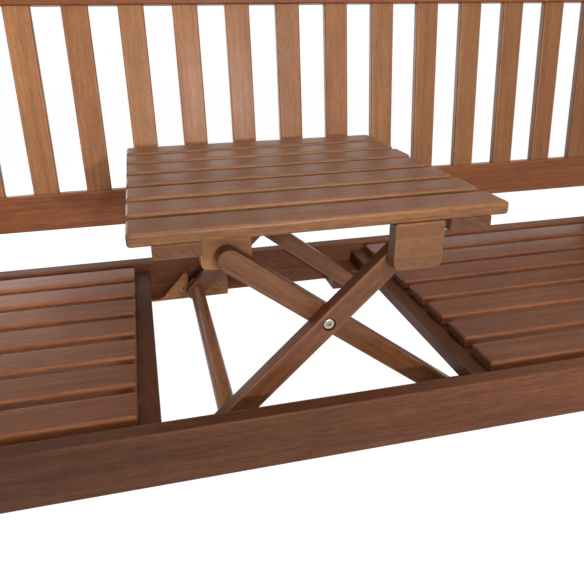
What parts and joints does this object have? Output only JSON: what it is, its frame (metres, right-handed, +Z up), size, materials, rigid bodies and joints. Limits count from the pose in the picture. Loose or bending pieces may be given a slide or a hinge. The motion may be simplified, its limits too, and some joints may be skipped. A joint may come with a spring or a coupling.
{
  "type": "companion seat bench",
  "caption": "Slatted hardwood garden bench whose middle seat lifts on crossed legs into a small table between two seats.",
  "frame": {"origin": "middle of the bench's outline on the ground under its feet", "axes": "+Z up, +X to the sitter's left (the viewer's right), the bench looks towards -Y"},
  "size_m": [1.51, 0.5898, 0.9],
  "materials": {
    "oiled_wood": "oiled hardwood, satin",
    "weathered_wood": "oiled hardwood worn matt on the upper faces",
    "back_wood": "oiled hardwood, satin",
    "steel": "dull plated steel"
  },
  "bodies": {
    "bench": {"armrest_left": "weathered_wood", "armrest_right": "weathered_wood", "back_lower_rail": "back_wood", "back_slats": "back_wood", "back_top_rail": "back_wood", "cleat_front": "oiled_wood", "cleat_rear": "oiled_wood", "cleat_screws": "steel", "front_apron": "oiled_wood", "front_leg_left": "oiled_wood", "front_leg_right": "oiled_wood", "inner_bearer_left": "oiled_wood", "inner_bearer_right": "oiled_wood", "lower_pivot_bolts": "steel", "outer_bearer_left": "oiled_wood", "outer_bearer_right": "oiled_wood", "pivot_block_front": "oiled_wood", "pivot_block_rear": "oiled_wood", "rear_post_left": "oiled_wood", "rear_post_right": "oiled_wood", "rear_seat_rail": "oiled_wood", "seat_slat_left_1": "weathered_wood", "seat_slat_left_2": "weathered_wood", "seat_slat_left_3": "weathered_wood", "seat_slat_left_4": "weathered_wood", "seat_slat_left_5": "weathered_wood", "seat_slat_left_6": "weathered_wood", "seat_slat_left_7": "weathered_wood", "seat_slat_right_1": "weathered_wood", "seat_slat_right_2": "weathered_wood", "seat_slat_right_3": "weathered_wood", "seat_slat_right_4": "weathered_wood", "seat_slat_right_5": "weathered_wood", "seat_slat_right_6": "weathered_wood", "seat_slat_right_7": "weathered_wood", "side_rail_left": "oiled_wood", "side_rail_right": "oiled_wood"},
    "inner_legs": {"inner_leg_front": "oiled_wood", "inner_leg_rear": "oiled_wood", "crossing_bolts": "steel"},
    "outer_legs": {"outer_leg_front": "oiled_wood", "outer_leg_rear": "oiled_wood", "cross_rod": "oiled_wood"},
    "table_top": {"table_batten_left": "oiled_wood", "table_batten_right": "oiled_wood", "table_slat_1": "weathered_wood", "table_slat_2": "weathered_wood", "table_slat_3": "weathered_wood", "table_slat_4": "weathered_wood", "table_slat_5": "weathered_wood", "table_slat_6": "weathered_wood", "table_slat_7": "weathered_wood", "left_ear_front": "oiled_wood", "left_ear_rear": "oiled_wood", "right_ear_front": "oiled_wood", "right_ear_rear": "oiled_wood", "upper_pivot_bolts": "steel"}
  },
  "joints": [
    {"name": "inner_leg_fold", "type": "hinge", "parent": "bench", "child": "inner_legs", "pos_m": [0.1632, 0, 0.384], "axis": [0, -1, 0], "range_deg": [0, 37.25]},
    {"name": "crossing_fold", "type": "hinge", "parent": "inner_legs", "child": "outer_legs", "pos_m": [0.00798, 0, 0.50203], "axis": [0, 1, 0], "range_deg": [0, 80.45]},
    {"name": "table_tilt", "type": "hinge", "parent": "outer_legs", "child": "table_top", "pos_m": [0.09006, 0, 0.57911], "axis": [0, -1, 0], "range_deg": [0, 43.2]}
  ],
  "couplings": [
    {"joint": "crossing_fold", "follows": "inner_leg_fold", "ratio": 2.1597},
    {"joint": "table_tilt", "follows": "inner_leg_fold", "ratio": 1.1597}
  ]
}
